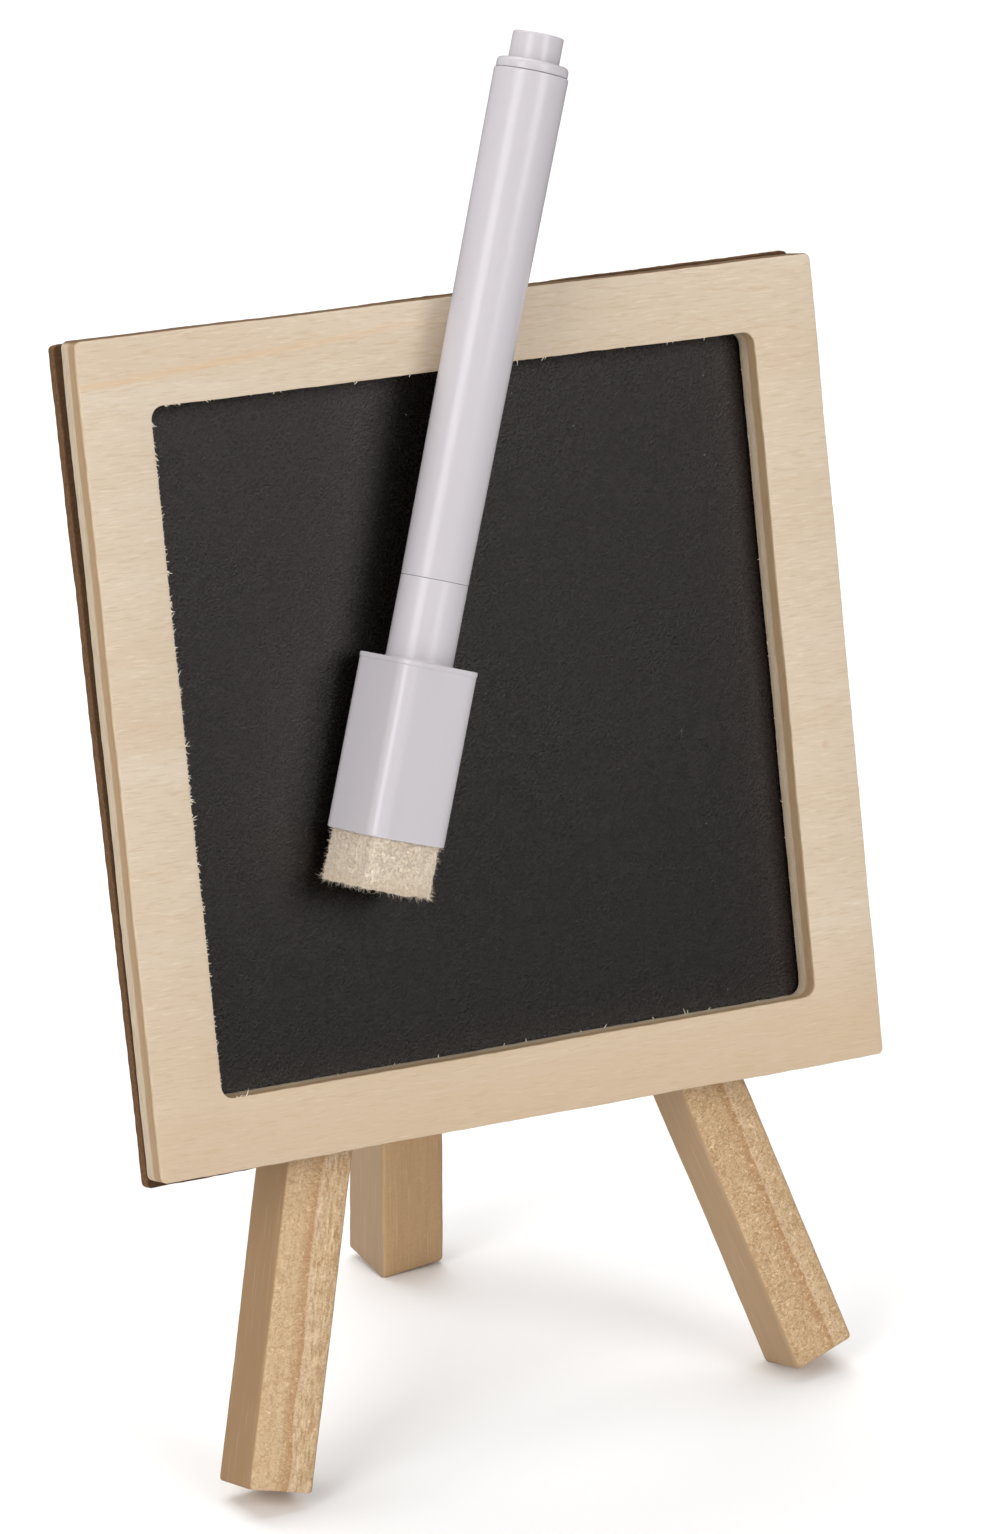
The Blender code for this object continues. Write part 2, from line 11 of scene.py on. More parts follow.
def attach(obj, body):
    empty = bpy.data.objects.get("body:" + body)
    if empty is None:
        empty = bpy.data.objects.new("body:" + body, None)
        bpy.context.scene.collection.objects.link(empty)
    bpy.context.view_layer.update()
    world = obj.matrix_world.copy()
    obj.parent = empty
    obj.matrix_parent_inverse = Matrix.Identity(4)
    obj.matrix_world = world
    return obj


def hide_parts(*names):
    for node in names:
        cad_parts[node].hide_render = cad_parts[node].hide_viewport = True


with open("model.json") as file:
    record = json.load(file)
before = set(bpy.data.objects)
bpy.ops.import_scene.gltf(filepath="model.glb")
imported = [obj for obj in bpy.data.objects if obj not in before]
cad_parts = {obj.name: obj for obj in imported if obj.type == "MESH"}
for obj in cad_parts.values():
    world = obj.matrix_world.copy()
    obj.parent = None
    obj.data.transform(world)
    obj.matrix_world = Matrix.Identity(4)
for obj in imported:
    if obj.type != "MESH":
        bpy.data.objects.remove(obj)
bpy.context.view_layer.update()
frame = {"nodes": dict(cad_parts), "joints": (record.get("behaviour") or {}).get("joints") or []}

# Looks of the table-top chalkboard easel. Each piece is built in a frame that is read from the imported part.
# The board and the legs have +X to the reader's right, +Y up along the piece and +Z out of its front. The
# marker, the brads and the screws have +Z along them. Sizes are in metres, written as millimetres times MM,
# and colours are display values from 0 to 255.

MM = 0.001

JOINTS = {joint["name"]: joint for joint in frame["joints"]}
READER = Vector(JOINTS["pen_lift"]["axis"]).normalized()
PEN_UP = Vector(JOINTS["pen_uncap"]["axis"]).normalized()
HINGE_LINE = Vector(JOINTS["rear_leg_fold"]["axis"]).normalized()
HINGE_PIN = Vector(JOINTS["rear_leg_fold"]["pos_m"])
RIGHT = Vector((1, 0, 0))

# Camera and light
CAMERA_PLACE = (-0.46163, -0.86789, 0.46109)
CAMERA_TURN = (69.5608, 0.8141, -28.9094)
CAMERA_LENS = 166.11
LIGHT_DISTANCE = 2.6
LIGHT_TARGET = Vector((0, 0, 0.11))
LIGHTS = {  # azimuth and elevation in degrees, width and height in metres, watts
    "key": (19, 27, 1.1, 1.4, 23),
    "side_fill": (-64, 24, 1.2, 1.9, 33),
    "top_fill": (180, 72, 2.4, 2.4, 46),
}
ROOM_LEVEL = 0.12
ROOM_GLOW = ((2, 0.1, 0.9, 0.35), (1, -0.2, 0.8, 0.35))  # axis, where the glow starts and ends, strength
FLOOR_HALF = 9.0
FLOOR_DROP = 0.02 * MM

# Frame and back
OPENING_WIDTH = 98.6 * MM
OPENING_HEIGHT = 99.5 * MM
OPENING_RADIUS = 1.9 * MM
FRAME_RADIUS = 1.0 * MM
FRAME_ARRIS = 0.4 * MM
OPENING_ARRIS = 0.2 * MM
FRAME_BACK_ARRIS = 0.2 * MM
OPENING_BACK_ARRIS = 0.1 * MM
ARRIS_STEPS = 4
FRAME_SIDE_STEPS = 130
FRAME_SLOW_WEAR = 0.16 * MM
FRAME_FAST_WEAR = 0.05 * MM
FRAME_ROUGHNESS = 0.035 * MM
STREAK_HEIGHT = 58.2 * MM  # above the middle of the board
STREAK_HALF = 0.8 * MM
STREAK_SLOPE = -0.060
KNOT_PLACE = (54.8 * MM, -12.7 * MM, 2.5 * MM)
BACKING_RADIUS = 0.6 * MM
BACKING_SIDE_STEPS = 220
SLIVER_RADIUS = 0.08 * MM
SLIVER_CORNER = (47.0 * MM, 47.5 * MM)  # no splinters further out than this, where the corners curve
SLIVER_LEFT = -45.0 * MM
SLIVER_TOP = 48.0 * MM
SLIVER_ROOT = 0.1 * MM
SLIVER_FRONT_INSET = 0.2 * MM
SLIVER_BACK_INSET = 0.25 * MM
SLIVER_STEPS = 3

# Legs
LEG_ARRIS = 0.95 * MM
LEG_SLOW_WEAR = 0.14 * MM
LEG_FAST_WEAR = 0.05 * MM
LEG_SIDE_STEPS = 7
LEG_CORNER_STEPS = 5
LEG_END_INSET = 0.6 * MM  # the even stations start this far from each end
STOP_OFFSET = 0.5 * MM  # the rear leg's bevel lies this far in front of the hinge pin
LEG_LOOKS = {  # front tone, side tone (wood colour darkened with painted shade), ring's place, torn grain, slanting fibres and their slant, seed
    "left": ((214, 184, 146), (154, 125, 92), 0.6 * MM, 0.7, 0.5, 24, 1.0),
    "right": ((211, 179, 139), (174, 147, 116), 1.3 * MM, 1.0, 0.15, 5, 4.0),
    # The rear leg's front tone is darker than the front legs' as painted shade, for the board's shadow it
    # stands in
    "rear": ((190, 158, 120), (166, 142, 116), 20 * MM, 0.12, 0.0, 0, 9.0),
}

# Metal parts
BRAD_RADIUS = 0.6 * MM
BRAD_HEAD = 1.3 * MM
SCREW_RADIUS = 0.7 * MM
SCREW_HEAD = 1.28 * MM
SCREW_TOP = 1.15 * MM
SLOT_HALF = 0.2 * MM
SLOT_DEPTH = 0.3 * MM
BRAD_STEPS = 32
SCREW_STEPS = 40
AXIS_RADIUS = 0.05 * MM  # turned pieces end in a flat this small

# Marker, along its axis from the mouth of the cap
CAP_HALF = 6.85 * MM
CAP_RADIUS = 2.6 * MM
CAP_HEIGHT = 25.75 * MM
CAP_LIP = 0.7 * MM
CAP_LIP_REACH = 0.06 * MM
NECK_RADIUS = 4.93 * MM
NECK_END = 37.7 * MM
SOCKET_RADIUS = 3.9 * MM
SOCKET_FLOOR = 10.0 * MM
POCKET_HALF = 6.1 * MM
POCKET_DEPTH = 5.0 * MM
MAGNET_HOLE = 4.3 * MM
MAGNET_HOLE_END = 8.3 * MM
BARREL_START = 37.74 * MM
BARREL_END = 111.75 * MM
BARREL_TOP_RADIUS = 5.45 * MM
BARREL_BORE = 4.1 * MM
COLLAR_START = 111.83 * MM
COLLAR_RADIUS = 5.25 * MM
COLLAR_END = 113.4 * MM
PLUG_RADIUS = 3.72 * MM
PLUG_ROOT = 101.0 * MM
PLUG_END = 117.4 * MM
FELT_HALF = 5.85 * MM
FELT_REACH = 7.5 * MM
FELT_TOP = 4.6 * MM
FELT_RADIUS = 1.3 * MM
FELT_STEPS = 260
FELT_LEVELS = 70
FELT_CROWN_START = 0.5 * MM
FELT_CROWN = (  # share of the outline's reach, and millimetres past the crown's start
    (0.96, 0.25),
    (0.9, 0.42),
    (0.8, 0.5),
    (0.62, 0.54),
    (0.42, 0.56),
    (0.22, 0.56),
    (0.05, 0.56),
)
NAP_FIBRES = 4200
FRINGE_FIBRES = 1500
FUZZ_RADIUS = 0.028 * MM
FUZZ_ROOT = 0.06 * MM
FUZZ_STATIONS = (0, 0.33, 0.67, 1)
FUZZ_CURL = 0.6
NAP_SPAN = (-7.2 * MM, -0.1 * MM)
FRINGE_SPAN = 2.2 * MM
FRINGE_STRETCH = 1.45
STRAY_RADIUS = 0.045 * MM
STRAY_STEPS = 14

FILLET_STEPS = 5
ROUND_STEPS = 96
SQUARE_STEPS = 160


def facing(node, about, hint):
    """Normal of the node's largest flat side that runs along `about`, on the side of `hint`."""
    polygons = frame["nodes"][node].data.polygons
    normals = np.array([polygon.normal for polygon in polygons])
    areas = np.array([polygon.area for polygon in polygons])
    side = (np.abs(normals @ np.array(about)) < 0.02) & (normals @ np.array(hint) > 0.2)
    normals, areas = normals[side], areas[side]
    votes = ((normals @ normals.T) > 0.9998) @ areas
    return Vector(normals[int(np.argmax(votes))])


def node_frame(node, x_axis, z_axis):
    """(matrix, size) of the node's box along these axes. The matrix is centred on the box."""
    y_axis = z_axis.cross(x_axis).normalized()
    x_axis = y_axis.cross(z_axis).normalized()
    rows = Matrix((x_axis, y_axis, z_axis))
    points = np.array([rows @ vertex.co for vertex in frame["nodes"][node].data.vertices])
    low, high = points.min(0), points.max(0)
    centre = rows.transposed() @ Vector((low + high) / 2)
    return Matrix.Translation(centre) @ rows.transposed().to_4x4(), Vector(high - low)


def shape(bm, name, sharp=40):
    """A smooth-shaded mesh that keeps the edges that turn by more than `sharp` degrees."""
    bmesh.ops.recalc_face_normals(bm, faces=bm.faces)
    mesh = bpy.data.meshes.new(name)
    bm.to_mesh(mesh)
    bm.free()
    mesh.shade_smooth()
    mesh.set_sharp_from_angle(angle=math.radians(sharp))
    return mesh


def skin(rings, closed=False):
    """A bmesh through rings that have the same number of points. A closed skin runs back to its first ring,
    and an open one gets end caps."""
    bm = bmesh.new()
    loops = [[bm.verts.new(point) for point in ring] for ring in rings]
    count = len(loops[0])
    pairs = list(zip(loops, loops[1:]))
    if closed:
        pairs.append((loops[-1], loops[0]))
    for first, second in pairs:
        for i in range(count):
            j = (i + 1) % count
            bm.faces.new((first[i], first[j], second[j], second[i]))
    if not closed:
        bm.faces.new(loops[0])
        bm.faces.new(loops[-1])
    return bm


def loft(name, rings, closed=False, sharp=40):
    return shape(skin(rings, closed), name, sharp)


def place(name, mesh, matrix, body, material, replaced=()):
    """Puts a piece in its frame, on its body, in place of CAD nodes."""
    piece = bpy.data.objects.new(name, mesh)
    bpy.context.scene.collection.objects.link(piece)
    piece.matrix_world = matrix
    piece.data.materials.append(material)
    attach(piece, body)
    if replaced:
        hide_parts(*replaced)
    return piece


def filleted(profile):
    """A polyline of (across, along, fillet) with its corners rounded off."""
    result = []
    for i, (across, along, fillet) in enumerate(profile):
        corner = Vector((across, along))
        if not fillet or i in (0, len(profile) - 1):
            result.append(corner)
            continue
        before = (Vector(profile[i - 1][:2]) - corner).normalized() * fillet
        after = (Vector(profile[i + 1][:2]) - corner).normalized() * fillet
        for step in range(FILLET_STEPS + 1):
            t = step / FILLET_STEPS
            result.append(corner + before * (1 - t) ** 2 + after * t**2)
    return result


def circle(radius, height, steps):
    turn = 2 * math.pi / steps
    return [(radius * math.cos(turn * i), radius * math.sin(turn * i), height) for i in range(steps)]


def square_reach(angle, half, radius):
    """Distance from the middle to the outline of a rounded square, in this direction."""
    across = max(abs(math.cos(angle)), abs(math.sin(angle)))
    along = min(abs(math.cos(angle)), abs(math.sin(angle)))
    inner = half - radius
    if half * along / across <= inner:
        return half / across
    middle = inner * (across + along)
    return middle + math.sqrt(max(middle**2 - 2 * inner**2 + radius**2, 0))


def square(half, radius, height):
    points = []
    for i in range(SQUARE_STEPS):
        angle = 2 * math.pi * i / SQUARE_STEPS
        reach = square_reach(angle, half, radius)
        points.append((reach * math.cos(angle), reach * math.sin(angle), height))
    return points


def outline(width, height, radius, side_steps, corner_steps=6):
    """(point, outward normal) pairs round a rectangle with rounded corners. The pairs of two outlines
    match one to one when they have the same step counts."""
    pairs = []
    quarters = ((1, 1), (-1, 1), (-1, -1), (1, -1))
    for quarter, (sx, sy) in enumerate(quarters):
        centre = Vector((sx * (width / 2 - radius), sy * (height / 2 - radius)))
        for i in range(corner_steps + 1):
            angle = math.pi / 2 * (quarter + i / corner_steps)
            normal = Vector((math.cos(angle), math.sin(angle)))
            pairs.append((centre + normal * radius, normal))
        nx, ny = quarters[(quarter + 1) % 4]
        start = pairs[-1][0]
        end = Vector((nx * (width / 2 - radius), ny * (height / 2 - radius))) + normal * radius
        for i in range(1, side_steps):
            pairs.append((start.lerp(end, i / side_steps), normal))
    return pairs


def wander(place_on, scale, size, seed):
    """Smooth random offset, up to about `size`, that changes over 1 / scale millimetres."""
    x, y, z = (coordinate / MM * scale for coordinate in place_on)
    return size * noise.noise(Vector((x + 31.7 * seed, y - 17.3 * seed, z + 5.1 * seed)))


# Materials


def display(red, green, blue):
    """Linear colour of a display value."""
    linear = []
    for value in (red, green, blue):
        value /= 255
        linear.append(value / 12.92 if value <= 0.04045 else ((value + 0.055) / 1.055) ** 2.4)
    return (*linear, 1.0)


class Surface:
    """A material and short calls that add its nodes."""

    def __init__(self, name, roughness, metallic=0.0, specular=0.5):
        self.material = bpy.data.materials.new(name)
        self.material.use_nodes = True
        self.tree = self.material.node_tree
        self.shader = self.tree.nodes["Principled BSDF"]
        self.shader.inputs["Roughness"].default_value = roughness
        self.shader.inputs["Metallic"].default_value = metallic
        self.shader.inputs["Specular IOR Level"].default_value = specular
        self.texture = self.node("TexCoord")

    def node(self, kind, inputs=None, **settings):
        made = self.tree.nodes.new("ShaderNode" + kind)
        for key, value in settings.items():
            setattr(made, key, value)
        for key, value in (inputs or {}).items():
            if isinstance(value, bpy.types.NodeSocket):
                self.tree.links.new(value, made.inputs[key])
            else:
                made.inputs[key].default_value = value
        return made

    def place(self, stretch=(1, 1, 1), turn=0.0):
        """Position in the piece's frame in millimetres, times `stretch` and turned about its Z."""
        inputs = {
            "Vector": self.texture.outputs["Object"],
            "Scale": tuple(1000 * factor for factor in stretch),
            "Rotation": (0, 0, math.radians(turn)),
        }
        return self.node("Mapping", inputs).outputs[0]

    def axis(self, index, of="Object"):
        """One coordinate of the position, in metres, or of the piece's own normal."""
        return self.node("SeparateXYZ", {0: self.texture.outputs[of]}).outputs[index]

    def noise(self, vector, scale, detail, roughness=0.55, distortion=0.0, seed=0.0):
        inputs = {
            "Vector": vector,
            "Scale": scale,
            "Detail": detail,
            "Roughness": roughness,
            "Distortion": distortion,
            "W": seed,
        }
        return self.node("TexNoise", inputs, noise_dimensions="4D").outputs[0]

    def lines(self, vector, scale, distortion):
        inputs = {
            "Vector": vector,
            "Scale": scale,
            "Distortion": distortion,
            "Detail": 3.0,
            "Detail Scale": 1.5,
        }
        return self.node("TexWave", inputs, bands_direction="X").outputs[1]

    def maths(self, operation, first, second=0.0, third=0.0):
        inputs = {0: first, 1: second, 2: third}
        return self.node("Math", inputs, operation=operation).outputs[0]

    def rise(self, value, low, high):
        """0 below `low`, 1 above `high`, and a smooth step between. high may be below low."""
        inputs = {"Value": value, "From Min": low, "From Max": high}
        return self.node("MapRange", inputs, interpolation_type="SMOOTHSTEP").outputs[0]

    def span(self, value, low, high):
        """Rescales noise between these limits to 0 to 1."""
        inputs = {"Value": value, "From Min": low, "From Max": high}
        return self.node("MapRange", inputs).outputs[0]

    def ramp(self, value, stops):
        made = self.node("ValToRGB", {0: value})
        elements = made.color_ramp.elements
        while len(elements) < len(stops):
            elements.new(0.5)
        for element, (position, colour) in zip(elements, stops):
            element.position = position
            element.color = colour
        return made.outputs[0]

    def mix(self, factor, first, second):
        return self.node("Mix", {0: factor, 6: first, 7: second}, data_type="RGBA").outputs[2]

    def tint(self, colour, mask, amount, tone):
        """Lays a display tone over `colour` where `mask` is 1, as strongly as `amount`."""
        return self.mix(self.maths("MULTIPLY", mask, amount), colour, display(*tone))

    def tones(self, value, dark, light):
        """A ramp between two display tones over the middle of noise."""
        return self.ramp(self.span(value, 0.3, 0.7), [(0, display(*dark)), (1, display(*light))])

    def bump(self, height, distance, strength):
        inputs = {"Height": height, "Distance": distance, "Strength": strength}
        return self.node("Bump", inputs).outputs[0]

    def finish(self, colour, roughness=None, normal=None):
        for key, socket in (("Base Color", colour), ("Roughness", roughness), ("Normal", normal)):
            if socket:
                self.tree.links.new(socket, self.shader.inputs[key])
        return self.material


def plywood_material():
    s = Surface("plywood_look", 0.6, specular=0.3)
    broad = s.noise(s.place((0.12, 1, 1)), 0.1, 3, 0.5, 1.2)
    colour = s.tones(broad, (208, 192, 171), (201, 181, 156))
    figure = s.noise(s.place((0.14, 1, 0.6)), 0.45, 4, 0.6, 1.5, 3.0)
    colour = s.tint(colour, s.rise(figure, 0.52, 0.8), 0.3, (202, 178, 150))
    hairs = s.noise(s.place((0.1, 1.0, 0.8)), 3.6, 3, 0.5, 0.15, 1.0)
    colour = s.tint(colour, s.rise(hairs, 0.5, 0.7), 0.45, (188, 162, 132))
    pale = s.noise(s.place((0.09, 1.0, 0.8)), 3.8, 3, 0.5, 0.15, 5.0)
    colour = s.tint(colour, s.rise(pale, 0.53, 0.72), 0.32, (230, 217, 198))
    pores = s.noise(s.place((0.18, 1.0, 1.0)), 3.4, 3, 0.55, 0.0, 6.0)
    colour = s.tint(colour, s.rise(pores, 0.68, 0.8), 0.35, (160, 130, 96))

    # The lower rail is a little warmer
    colour = s.tint(colour, s.rise(s.axis(1), -35 * MM, -56 * MM), 0.5, (196, 168, 136))

    # A warm streak in the upper left rail
    drift = s.maths("MULTIPLY", s.noise(s.place((0.05, 0.05, 0)), 1.0, 3, 0.6), 2 * MM)
    slope = s.maths("MULTIPLY_ADD", s.axis(0), STREAK_SLOPE, s.axis(1))
    level = s.maths("SUBTRACT", s.maths("ADD", slope, drift), STREAK_HEIGHT)
    streak = s.rise(s.maths("ABSOLUTE", level), STREAK_HALF, 0.0)
    streak = s.maths("MULTIPLY", streak, s.rise(s.axis(0), 12 * MM, -30 * MM))
    colour = s.tint(colour, streak, 0.36, (214, 172, 126))

    # A pin knot in the right rail
    knot = s.node("VectorMath", {0: s.texture.outputs["Object"], 1: KNOT_PLACE}, operation="DISTANCE")
    near = s.maths("MULTIPLY_ADD", figure, 0.8 * MM, knot.outputs[1])
    colour = s.tint(colour, s.rise(near, 1.4 * MM, 0.4 * MM), 0.4, (180, 140, 96))

    # Edges show a pale back ply, a browner one in front of it and the pale face veneer
    edge = s.rise(s.maths("ABSOLUTE", s.axis(2, "Normal")), 0.9, 0.5)
    level = s.maths("MULTIPLY_ADD", s.noise(s.place((0.1, 0.1, 0.4)), 1.0, 2), 0.6 * MM, s.axis(2))
    plies = s.ramp(
        s.span(level, -2.2 * MM, 2.8 * MM),
        [
            (0.0, display(206, 190, 166)),
            (0.44, display(200, 182, 156)),
            (0.52, display(176, 149, 116)),
            (0.88, display(172, 143, 108)),
            (0.96, display(208, 188, 160)),
        ],
    )
    fibres = s.noise(s.place((0.3, 0.3, 5.0)), 1.4, 4, 0.65, 0.0, 4.0)
    plies = s.tint(plies, s.rise(fibres, 0.42, 0.72), 0.5, (138, 108, 76))
    # The outer edge along the top is darkened where it faces up, as painted shade
    top = s.rise(s.axis(1), 52 * MM, 58 * MM)
    plies = s.tint(plies, s.rise(s.axis(1, "Normal"), 0.5, 0.9), top, (122, 96, 68))
    colour = s.mix(edge, colour, plies)

    grain = s.maths("ADD", s.maths("MULTIPLY", hairs, 0.6), s.maths("MULTIPLY", pores, 0.4))
    height = s.maths("ADD", grain, s.maths("MULTIPLY", fibres, edge))
    rough = s.maths("MULTIPLY_ADD", hairs, 0.2, 0.5)
    return s.finish(colour, rough, s.bump(height, 0.2 * MM, 0.55))


def leg_material(name, front_tone, side_wood_and_shade_tone, ring_place, torn, slanting, slant, seed):
    """Sawn stick: a growth ring along the front face, torn grain, and slanting fibres past the ring."""
    s = Surface(name, 0.65, specular=0.25)
    front = s.rise(s.maths("ABSOLUTE", s.axis(2, "Normal")), 0.6, 0.9)
    grain = s.span(s.noise(s.place((1, 0.03, 1)), 0.9, 4, 0.6, 0.5, seed), 0.32, 0.68)
    # The sides take their own tone: the wood's colour darkened with painted shade
    colour = s.mix(front, display(*side_wood_and_shade_tone), display(*front_tone))
    colour = s.tint(colour, grain, 0.22, (160, 120, 78))
    streaks = s.noise(s.place((1, 0.025, 1)), 3.2, 4, 0.6, 0.2, seed + 2)
    colour = s.tint(colour, s.rise(streaks, 0.48, 0.72), 0.2, (156, 118, 78))
    pale = s.noise(s.place((1, 0.03, 1)), 2.4, 3, 0.6, 0.2, seed + 4)
    colour = s.tint(colour, s.rise(pale, 0.55, 0.75), 0.3, (226, 204, 174))

    # The growth ring darkens towards its edge and stops there, and pale wood follows it
    sway = s.noise(s.place((0, 0.03, 0)), 1.0, 4, 0.6, 0.0, seed + 5)
    ring = s.maths("MULTIPLY_ADD", s.maths("SUBTRACT", sway, 0.5), 4 * MM, s.axis(0))
    ring = s.maths("SUBTRACT", ring, ring_place)
    late = s.maths("MULTIPLY", s.rise(ring, -2.4 * MM, -0.1 * MM), s.rise(ring, 0.2 * MM, -0.1 * MM))
    colour = s.tint(colour, s.maths("MULTIPLY", late, front), 0.55, (176, 124, 74))
    early = s.maths("MULTIPLY", s.rise(ring, -0.1 * MM, 0.2 * MM), s.rise(ring, 2.8 * MM, 0.6 * MM))
    colour = s.tint(colour, s.maths("MULTIPLY", early, front), 0.45, (224, 198, 166))

    # Torn grain: short curled fibres; the darkening in the hollows is painted shade
    where = s.maths("MULTIPLY", front, torn)
    swirl = s.noise(s.place((1, 0.75, 1)), 0.8, 2, 0.5, 0.0, seed + 6)
    patch = s.maths("MULTIPLY", s.rise(swirl, 0.54, 0.7), where)
    colour = s.tint(colour, patch, 0.35, (182, 138, 90))
    curls = s.noise(s.place((0.75, 1, 1)), 1.5, 3, 0.62, 2.0, seed + 7)
    # Painted shade in the hollows of the torn grain
    dark = s.maths("MULTIPLY", s.rise(curls, 0.51, 0.64), where)
    colour = s.tint(colour, dark, 0.55, (162, 118, 74))
    light = s.maths("MULTIPLY", s.rise(curls, 0.47, 0.34), where)
    colour = s.tint(colour, light, 0.7, (248, 222, 184))

    # Slanting fibres past the ring
    cross = s.noise(s.place((1, 0.2, 1), slant), 2.6, 3, 0.6, 0.3, seed + 8)
    beyond = s.maths("MULTIPLY", s.rise(ring, -0.2 * MM, 0.8 * MM), front)
    scored = s.maths("MULTIPLY", s.rise(cross, 0.48, 0.64), beyond)
    colour = s.tint(colour, scored, slanting, (172, 128, 84))
    gleam = s.maths("MULTIPLY", s.rise(cross, 0.46, 0.34), beyond)
    colour = s.tint(colour, gleam, slanting, (240, 214, 178))

    # End grain
    end = s.rise(s.maths("ABSOLUTE", s.axis(1, "Normal")), 0.6, 0.85)
    arcs = s.lines(s.place(), 0.35, 3.0)
    colour = s.mix(end, colour, s.ramp(arcs, [(0, display(190, 154, 112)), (1, display(160, 122, 80))]))

    fibre = s.noise(s.place((1, 0.05, 1)), 3.5, 5, 0.65, 0.0, seed + 3)
    height = s.maths("MULTIPLY_ADD", fibre, 0.3, s.maths("MULTIPLY", light, 0.6))
    height = s.maths("SUBTRACT", height, s.maths("MULTIPLY", dark, 0.6))
    height = s.maths("SUBTRACT", height, s.maths("MULTIPLY", scored, 0.4))
    return s.finish(colour, None, s.bump(height, 0.3 * MM, 0.6))


def chalk_material():
    """Matt speckled paint. Its glint of the key light is what makes it look grey."""
    s = Surface("writing_sheet_look", 0.3, specular=0.53)
    s.shader.inputs["Specular Tint"].default_value = (1.0, 0.91, 0.88, 1.0)
    speckle = s.span(s.noise(s.place(), 2.9, 3, 0.7), 0.3, 0.7)
    cloud = s.noise(s.place(), 0.05, 4, 0.55, 0.6, 2.0)
    colour = s.ramp(s.maths("POWER", speckle, 1.5), [(0, display(1, 1, 1)), (1, display(27, 25, 23))])
    dust = s.noise(s.place(), 2.0, 1, 0.4, 0.0, 9.0)
    colour = s.tint(colour, s.rise(dust, 0.78, 0.83), 0.8, (150, 144, 138))
    rough = s.maths("MULTIPLY_ADD", cloud, 0.06, s.maths("MULTIPLY_ADD", speckle, 0.22, 0.115))
    return s.finish(colour, rough, s.bump(speckle, 0.09 * MM, 0.5))


def hardboard_material():
    s = Surface("hardboard_look", 0.78, specular=0.2)
    fibres = s.noise(s.place((1, 1, 2.5)), 1.8, 6, 0.7)
    colour = s.tones(fibres, (66, 44, 26), (134, 98, 64))
    # The back carries the print of the wire screen that it was pressed on
    back = s.rise(s.axis(2, "Normal"), -0.5, -0.9)
    first = s.lines(s.place(), 0.32, 0.15)
    second = s.lines(s.place(turn=90), 0.32, 0.15)
    screen = s.maths("MULTIPLY", s.maths("MULTIPLY", first, second), back)
    colour = s.tint(colour, screen, 0.35, (148, 112, 80))
    # The smooth front is darker
    colour = s.tint(colour, s.rise(s.axis(2, "Normal"), 0.3, 0.7), 0.7, (62, 42, 26))
    height = s.maths("ADD", s.maths("MULTIPLY", screen, 0.9), s.maths("MULTIPLY", fibres, 0.4))
    return s.finish(colour, None, s.bump(height, 0.3 * MM, 0.7))


def white_plastic_material():
    s = Surface("white_plastic_look", 0.3, specular=0.42)
    s.shader.inputs["Subsurface Weight"].default_value = 0.12
    s.shader.inputs["Subsurface Radius"].default_value = (1.0, 0.9, 0.9)
    s.shader.inputs["Subsurface Scale"].default_value = 1.2 * MM
    tone = s.noise(s.place((1, 1, 0.3)), 0.12, 3, 0.5)
    colour = s.tones(tone, (195, 190, 194), (198, 193, 197))
    motes = s.noise(s.place(), 2.8, 1, 0.4, 0.0, 4.0)
    colour = s.tint(colour, s.rise(motes, 0.8, 0.84), 0.5, (120, 116, 120))
    ripple = s.noise(s.place((1, 1, 0.12)), 0.5, 3, 0.5, 0.0, 2.0)
    rough = s.maths("MULTIPLY_ADD", s.noise(s.place(), 0.15, 2, 0.5, 0.0, 7.0), 0.04, 0.23)
    return s.finish(colour, rough, s.bump(ripple, 0.08 * MM, 0.3))


def felt_material():
    s = Surface("wool_felt_look", 0.95, specular=0.1)
    s.shader.inputs["Sheen Weight"].default_value = 0.3
    s.shader.inputs["Sheen Roughness"].default_value = 0.5
    wool = s.noise(s.place((1, 1, 0.5)), 1.5, 5, 0.7, 2.5)
    colour = s.ramp(s.span(wool, 0.34, 0.66), [(0, display(205, 184, 158)), (1, display(246, 234, 217))])
    # Painted shade darkens the felt along its creases, which the bump also sinks
    folds = s.noise(s.place((0.6, 0.6, 1)), 0.9, 3, 0.6, 1.5, 3.0)
    shaded_crease = s.rise(s.maths("ABSOLUTE", s.maths("SUBTRACT", folds, 0.5)), 0.03, 0.0)
    colour = s.tint(colour, shaded_crease, 0.3, (188, 156, 122))
    crumbs = s.noise(s.place(), 2.6, 2, 0.5, 0.0, 8.0)
    colour = s.tint(colour, s.rise(crumbs, 0.7, 0.78), 0.6, (140, 104, 74))
    height = s.maths("MULTIPLY_ADD", shaded_crease, -0.7, wool)
    return s.finish(colour, None, s.bump(height, 0.5 * MM, 0.7))


def fibre_material(name, dark, light):
    """Loose fibres, each a little different."""
    s = Surface(name, 0.85, specular=0.2)
    return s.finish(s.tones(s.noise(s.place(), 1.0, 2, 0.5), dark, light))


def metal_material(name, dark, light):
    s = Surface(name, 0.35, 0.6)
    brushed = s.noise(s.place((0.2, 3, 3)), 2.0, 4, 0.6)
    rough = s.maths("MULTIPLY_ADD", brushed, 0.2, 0.25)
    return s.finish(s.tones(brushed, dark, light), rough, s.bump(brushed, 0.05 * MM, 0.4))


def dark_material(name, dark, light, roughness, scale):
    """Matt moulding or stained fibre."""
    s = Surface(name, roughness, specular=0.35)
    grain = s.noise(s.place(), scale, 5, 0.6)
    return s.finish(s.tones(grain, dark, light), None, s.bump(grain, 0.1 * MM, 0.5))


def floor_material():
    s = Surface("floor_look", 0.7, specular=0.2)
    tone = s.noise(s.place(), 0.02, 3, 0.5)
    return s.finish(s.ramp(tone, [(0, display(250, 250, 250)), (1, display(252, 252, 252))]))


